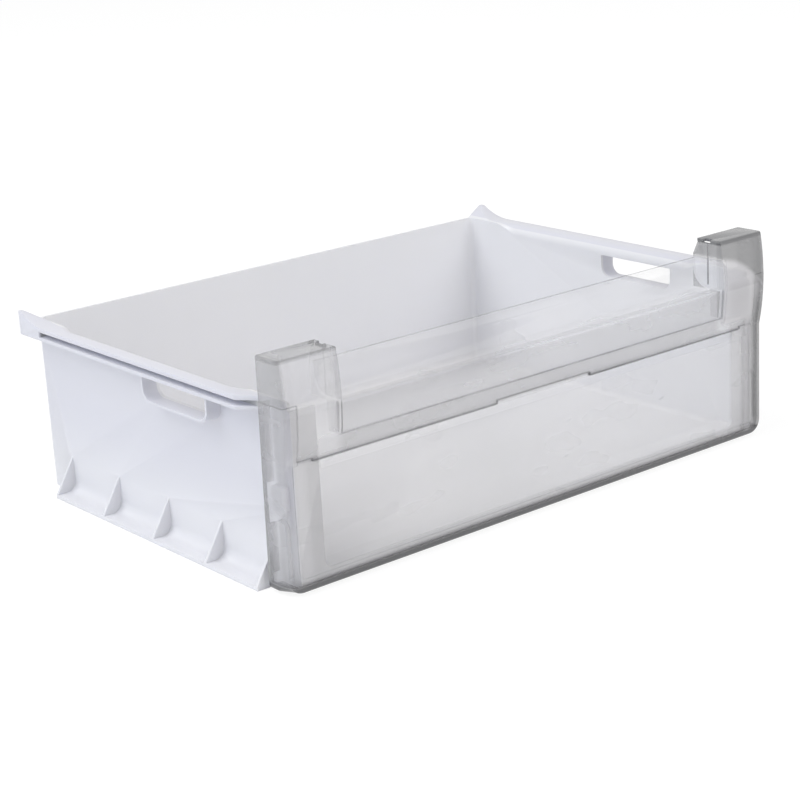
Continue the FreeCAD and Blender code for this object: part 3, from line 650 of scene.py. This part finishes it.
@dataclass(frozen=True)
class ClearEdge:
    """Edges of the clear mouldings, dark because the plastic is seen lengthways.

    Edges that the photograph hardly shows are hidden in part. Spans are in millimetres.
    """

    name: str = "clear_edge"
    dark: Colour = (0.10, 0.10, 0.11)
    pale: Colour = (0.26, 0.26, 0.28)
    cover: float = 0.34
    cover_play: float = 0.14
    joint_cover: float = 0.45
    notch_cover: float = 0.40
    gloss: float = 0.12
    gloss_play: float = 0.1
    grain: float = 0.00001
    joint_height: Window = (88.0, 91.0, 1.0)
    joint_side: Span = (200.0, 202.0)
    joint_fade: float = 0.7
    post_side: Window = (212.8, 214.2, 0.3)
    post_height: Span = (90.0, 91.0)
    post_hidden: float = 0.55
    post_hidden_right: float = 0.3
    rib_depth: Window = (-153.0, -151.0, 0.3)
    rib_height: Span = (121.0, 124.0)
    notch_side: Window = (177.0, 183.0, 0.5)
    notch_height: Span = (156.0, 157.0)
    notch_depth: Span = (-155.0, -153.0)
    seam_side: Window = (178.0, 181.0, 0.3)
    seam_depth: Span = (-156.0, -154.0)
    seam_height: Span = (154.0, 156.0)
    hidden: float = 0.85
    tongue_hidden: float = 0.92
    runs: Pattern = Pattern(28.0, 3.0)
    nicks: Pattern = Pattern(420.0, 2.0)

    def material(self) -> bpy.types.Material:
        """Builds the material.

        Returns:
            The material.
        """
        made = bpy.data.materials.new(self.name)
        graph = Graph(made)
        at = Survey(graph)
        share = graph.noise(self.runs).rise(LUMPS, 1.0)
        nicks = graph.noise(self.nicks)
        joint = at.height.window(self.joint_height) * (
            1.0 - self.joint_fade * at.side.rise(self.joint_side))
        notch = (at.side.window(self.notch_side) * at.height.rise(self.notch_height)
                 * at.depth.rise(self.notch_depth))
        cover = (self.cover + self.cover_play * (1.0 - share) + self.joint_cover * joint
                 + self.notch_cover * notch)
        shader = graph.node("ShaderNodeBsdfPrincipled", {}, {
            "Base Color": graph.blend(share, self.dark, self.pale),
            "Roughness": self.gloss + self.gloss_play * nicks,
            "Alpha": cover * self._shown(at),
            "Normal": graph.bump(nicks, self.grain)})
        graph.surface(shader)
        return made

    def _shown(self, at: Survey) -> Signal:
        """How much an edge shows.

        Args:
            at: Where the shaded point is.

        Returns:
            1 for an edge that shows in full, less for a hidden one.
        """
        post = at.side.window(self.post_side) * at.height.rise(self.post_height)
        rib = at.depth.window(self.rib_depth) * at.height.fall(self.rib_height)
        seam = (at.side.window(self.seam_side) * at.depth.rise(self.seam_depth)
                * at.height.fall(self.seam_height))
        return ((1.0 - self.tongue_hidden * at.tongue()) * (1.0 - self.hidden * rib)
                * (1.0 - post * (self.post_hidden + self.post_hidden_right * at.right))
                * (1.0 - self.hidden * seam * (1.0 - at.right)))


@dataclass(frozen=True)
class PaperFloor:
    """White paper under the drawer, which keeps its shadow."""

    name: str = "paper_floor"
    white: float = 0.96
    fibre_tone: float = 0.98
    lift: float = 0.80
    glow: float = 1.1
    fibre: Pattern = Pattern(240.0, 3.0)

    def material(self) -> bpy.types.Material:
        """Builds the material.

        Returns:
            The material.
        """
        made = bpy.data.materials.new(self.name)
        graph = Graph(made)
        tone = graph.blend(graph.noise(self.fibre), (self.white,) * 3,
                           (self.white * self.fibre_tone,) * 3)
        paper = graph.node("ShaderNodeBsdfDiffuse", {}, {"Color": tone})
        glow = graph.node("ShaderNodeEmission", {}, {
            "Color": (*WHITE, 1.0), "Strength": self.glow})
        graph.surface(graph.node("ShaderNodeMixShader", {}, {
            0: self.lift * seen_directly(graph), 1: paper, 2: glow}))
        return made


def seen_directly(graph: Graph) -> Signal:
    """Whether the eye sees a surface itself, in a reflection or through something clear.

    Args:
        graph: The graph to add to.

    Returns:
        1 for such rays, else 0.
    """
    outputs = graph.tree.nodes.new("ShaderNodeLightPath").outputs
    rays = ("Camera", "Glossy", "Transmission")
    camera, glossy, through = (Signal(graph, outputs[f"Is {ray} Ray"]) for ray in rays)
    return (camera + glossy + through).at_most(1.0)


@dataclass
class Moulding:
    """One moulded piece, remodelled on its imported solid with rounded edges."""

    node: str
    body: str
    slot: str
    rounding: float = 0.4 * MM
    steps: int = 2
    edge_finish: int = 0
    end_width: float = 2.4 * MM
    end_sharp_share: float = 0.85
    weld: float = 0.01 * MM
    flat: float = math.radians(0.6)
    sharp: float = math.radians(28.0)

    def build(self, solid: bpy.types.Object,
              finishes: list[bpy.types.Material]) -> bpy.types.Object:
        """Makes the piece.

        Args:
            solid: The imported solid.
            finishes: Finish of the faces, and that of the edges where it differs.

        Returns:
            The finished piece.
        """
        piece = bpy.data.objects.new(f"{self.node}_moulding", solid.data.copy())
        bpy.context.scene.collection.objects.link(piece)
        piece.data.materials.clear()
        for finish in finishes:
            piece.data.materials.append(finish)
        select_only(piece)
        self._clean(piece)
        if len(finishes) > 1:
            self._mark_ends(piece)
        self._round_edges(piece)
        bpy.ops.object.shade_smooth_by_angle(angle=self.sharp)
        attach(piece, self.body)
        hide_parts(self.node)
        return piece

    def _clean(self, piece: bpy.types.Object) -> None:
        """Joins the loose triangles and clears the lines inside flat faces.

        Args:
            piece: The copy of the solid.
        """
        bpy.ops.object.mode_set(mode="EDIT")
        bpy.ops.mesh.select_all(action="SELECT")
        bpy.ops.mesh.remove_doubles(threshold=self.weld)
        bpy.ops.mesh.dissolve_limited(angle_limit=self.flat)
        bpy.ops.object.mode_set(mode="OBJECT")
        if "custom_normal" in piece.data.attributes:
            piece.data.attributes.remove(piece.data.attributes["custom_normal"])

    def _mark_ends(self, piece: bpy.types.Object) -> None:
        """Gives the narrow end faces of the walls the finish of the edges.

        Args:
            piece: The cleaned piece.
        """
        bpy.ops.object.mode_set(mode="EDIT")
        bpy.ops.mesh.select_all(action="DESELECT")
        bpy.ops.mesh.select_mode(type="EDGE")
        bpy.ops.mesh.edges_select_sharp(sharpness=self.sharp)
        bpy.ops.object.mode_set(mode="OBJECT")
        mesh = piece.data
        spans = {tuple(sorted(edge.vertices)): (mesh.vertices[edge.vertices[0]].co
                                                - mesh.vertices[edge.vertices[1]].co).length
                 for edge in mesh.edges}
        sharp = {tuple(sorted(edge.vertices)) for edge in mesh.edges if edge.select}
        for face in mesh.polygons:
            round_way = sum(spans[key] for key in face.edge_keys)
            sharp_way = sum(spans[key] for key in face.edge_keys if key in sharp)
            narrow = 2 * face.area / round_way < self.end_width
            if narrow and sharp_way > self.end_sharp_share * round_way:
                face.material_index = self.edge_finish

    def _round_edges(self, piece: bpy.types.Object) -> None:
        """Rounds the edges as a mould leaves them.

        Args:
            piece: The cleaned piece.
        """
        bevel = piece.modifiers.new("rounding", "BEVEL")
        bevel.width = self.rounding
        bevel.segments = self.steps
        bevel.limit_method = "ANGLE"
        bevel.angle_limit = self.sharp
        bevel.use_clamp_overlap = True
        bevel.material = self.edge_finish
        bevel.miter_outer = "MITER_ARC"
        bpy.ops.object.modifier_apply(modifier=bevel.name)


def clear_piece(node: str, body: str) -> Moulding:
    """A clear moulding, whose narrow faces and edges take the second finish."""
    return Moulding(node, body, "clear_plastic", rounding=0.3 * MM, edge_finish=1)


@dataclass
class Drawer:
    """The whole drawer."""

    tub: Moulding = field(default_factory=lambda: Moulding("bin", "bin", "white_plastic"))
    front: Moulding = field(default_factory=lambda: clear_piece("front_panel", "front"))
    rail: Moulding = field(default_factory=lambda: clear_piece("grip_rail", "rail"))
    white: WhiteMoulding = WhiteMoulding()
    clear: ClearMoulding = ClearMoulding()
    edge: ClearEdge = ClearEdge()

    def build(self, solids: dict[str, bpy.types.Object]) -> None:
        """Makes and dresses the three mouldings.

        Args:
            solids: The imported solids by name.
        """
        white, clear = [self.white.material()], [self.clear.material(), self.edge.material()]
        for moulding, finishes in ((self.tub, white), (self.front, clear), (self.rail, clear)):
            piece = moulding.build(solids[moulding.node], finishes)
            LOG.info("%s has %d faces", piece.name, len(piece.data.polygons))


@dataclass
class Studio:
    """Paper floor, softboxes, pale surroundings and the camera."""

    floor_size: float = 40.0
    floor_height: float = -0.05 * MM
    camera_place: Point = (-0.89886178, -1.13099029, 0.4992187)
    camera_right: Point = (0.77146468, -0.63403561, -0.05330191)
    camera_up: Point = (0.22901907, 0.19854661, 0.95295829)
    lens: float = 89.801
    sensor: float = 36.0
    sight: Span = (0.01, 100.0)
    boxes: dict[Light, tuple[Point, float, float]] = field(default_factory=lambda: {
        Light.KEY: ((-2.0, 1.0, 3.4), 3.0, 89.0),
        Light.LEFT: ((-3.0, 0.3, 1.2), 2.0, 16.0),
        Light.FRONT: ((0.5, -3.5, 2.0), 2.5, 66.0),
    })
    box_target: Point = (0.0, 0.0, 0.08)
    cool: Colour = (0.70, 0.83, 1.0)
    ambient: float = 0.40

    def build(self) -> None:
        """Makes the studio."""
        self._lay_floor()
        self._hang_lights()
        self._surround()
        self._place_camera()

    def _lay_floor(self) -> None:
        """Lays the paper floor."""
        bpy.ops.object.select_all(action="DESELECT")
        bpy.ops.mesh.primitive_plane_add(size=self.floor_size,
                                         location=(0.0, 0.0, self.floor_height))
        floor = bpy.context.active_object
        floor.name = "paper"
        floor.data.materials.append(PaperFloor().material())

    def _hang_lights(self) -> None:
        """Hangs the softboxes, each turned to the drawer."""
        for box, (place, size, power) in self.boxes.items():
            lamp = bpy.data.lights.new(f"softbox_{box.value}", "AREA")
            lamp.shape = "SQUARE"
            lamp.size = size
            lamp.energy = power
            if box is Light.LEFT:
                lamp.color = self.cool
            stand = bpy.data.objects.new(lamp.name, lamp)
            bpy.context.scene.collection.objects.link(stand)
            stand.location = place
            aim = Vector(self.box_target) - Vector(place)
            stand.rotation_euler = aim.to_track_quat("-Z", "Y").to_euler()

    def _surround(self) -> None:
        """Pale surroundings, white where the eye sees them."""
        world = bpy.data.worlds.new("studio_air")
        bpy.context.scene.world = world
        graph = Graph(world)
        strength = self.ambient + (1.0 - self.ambient) * seen_directly(graph)
        air = graph.node("ShaderNodeBackground", {}, {
            "Color": (*WHITE, 1.0), "Strength": strength})
        out = graph.tree.nodes.new("ShaderNodeOutputWorld")
        graph.tree.links.new(air.socket, out.inputs["Surface"])

    def _place_camera(self) -> None:
        """Puts the camera where the photograph was taken from."""
        lens = bpy.data.cameras.new("camera")
        lens.lens = self.lens
        lens.sensor_width = self.sensor
        lens.clip_start, lens.clip_end = self.sight
        camera = bpy.data.objects.new("camera", lens)
        bpy.context.scene.collection.objects.link(camera)
        right, up = Vector(self.camera_right).normalized(), Vector(self.camera_up).normalized()
        back = right.cross(up)
        turn = Matrix((right, up, back)).transposed().to_4x4()
        camera.matrix_world = Matrix.Translation(self.camera_place) @ turn
        bpy.context.scene.camera = camera


def select_only(piece: bpy.types.Object) -> None:
    """Selects one object and makes it the active one.

    Args:
        piece: The object.
    """
    bpy.ops.object.select_all(action="DESELECT")
    bpy.context.view_layer.objects.active = piece
    piece.select_set(True)


def main() -> None:
    """Builds the dressed drawer and its studio."""
    logging.basicConfig(level=logging.INFO)
    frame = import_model()
    bpy.context.scene.view_settings.view_transform = "Standard"
    Drawer().build(frame["nodes"])
    Studio().build()


if __name__ == "__main__":
    main()
